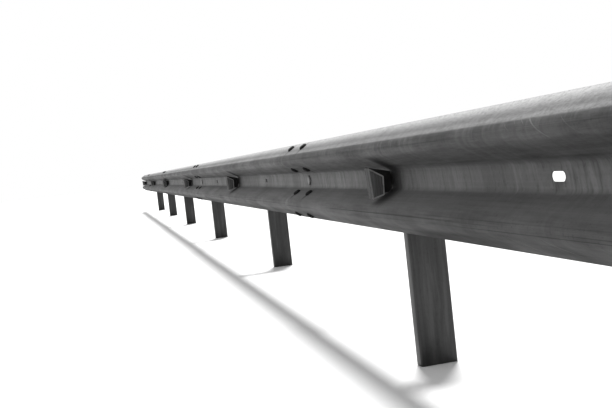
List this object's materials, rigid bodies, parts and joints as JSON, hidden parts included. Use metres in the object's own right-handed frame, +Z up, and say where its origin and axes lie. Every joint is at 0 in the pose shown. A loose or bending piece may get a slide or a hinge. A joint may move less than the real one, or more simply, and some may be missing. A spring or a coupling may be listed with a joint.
{
  "type": "highway guardrail section",
  "caption": "Straight run of galvanised two-wave steel guardrail on channel posts with folded spacers and delineator reflectors in the valley.",
  "frame": {"origin": "centre of the web of the middle post, on its foot face at ground level", "axes": "+Z up from the ground; +X along the row, from its far end to its near end; -Y is the road side, which the beam's waves face"},
  "size_m": [18.3201, 0.3785, 0.735],
  "materials": {
    "beam_steel": "weathered hot-dip galvanised, satin, with run marks and rust at the bolts",
    "post_steel": "weathered hot-dip galvanised, dull",
    "spacer_steel": "weathered hot-dip galvanised, dull",
    "housing_black": "moulded black plastic, dusty",
    "frame_light": "moulded light plastic, dusty",
    "lens_grey": "retroreflective panel under clear plastic, dusty"
  },
  "bodies": {
    "root": {"beam_1": "beam_steel", "beam_2": "beam_steel", "beam_3": "beam_steel", "beam_4": "beam_steel", "beam_5": "beam_steel", "post_1": "post_steel", "post_2": "post_steel", "post_3": "post_steel", "post_4": "post_steel", "post_5": "post_steel", "post_6": "post_steel", "post_7": "post_steel", "spacer_1": "spacer_steel", "spacer_2": "spacer_steel", "spacer_3": "spacer_steel", "spacer_4": "spacer_steel", "spacer_5": "spacer_steel", "spacer_6": "spacer_steel", "spacer_7": "spacer_steel", "reflector_body_1": "housing_black", "reflector_body_2": "housing_black", "reflector_body_3": "housing_black", "reflector_body_4": "housing_black", "reflector_body_5": "housing_black", "reflector_body_6": "housing_black", "reflector_body_7": "housing_black", "reflector_frame_1": "frame_light", "reflector_frame_2": "frame_light", "reflector_frame_3": "frame_light", "reflector_frame_4": "frame_light", "reflector_frame_5": "frame_light", "reflector_frame_6": "frame_light", "reflector_frame_7": "frame_light", "reflector_lens_1": "lens_grey", "reflector_lens_2": "lens_grey", "reflector_lens_3": "lens_grey", "reflector_lens_4": "lens_grey", "reflector_lens_5": "lens_grey", "reflector_lens_6": "lens_grey", "reflector_lens_7": "lens_grey"}
  },
  "joints": []
}
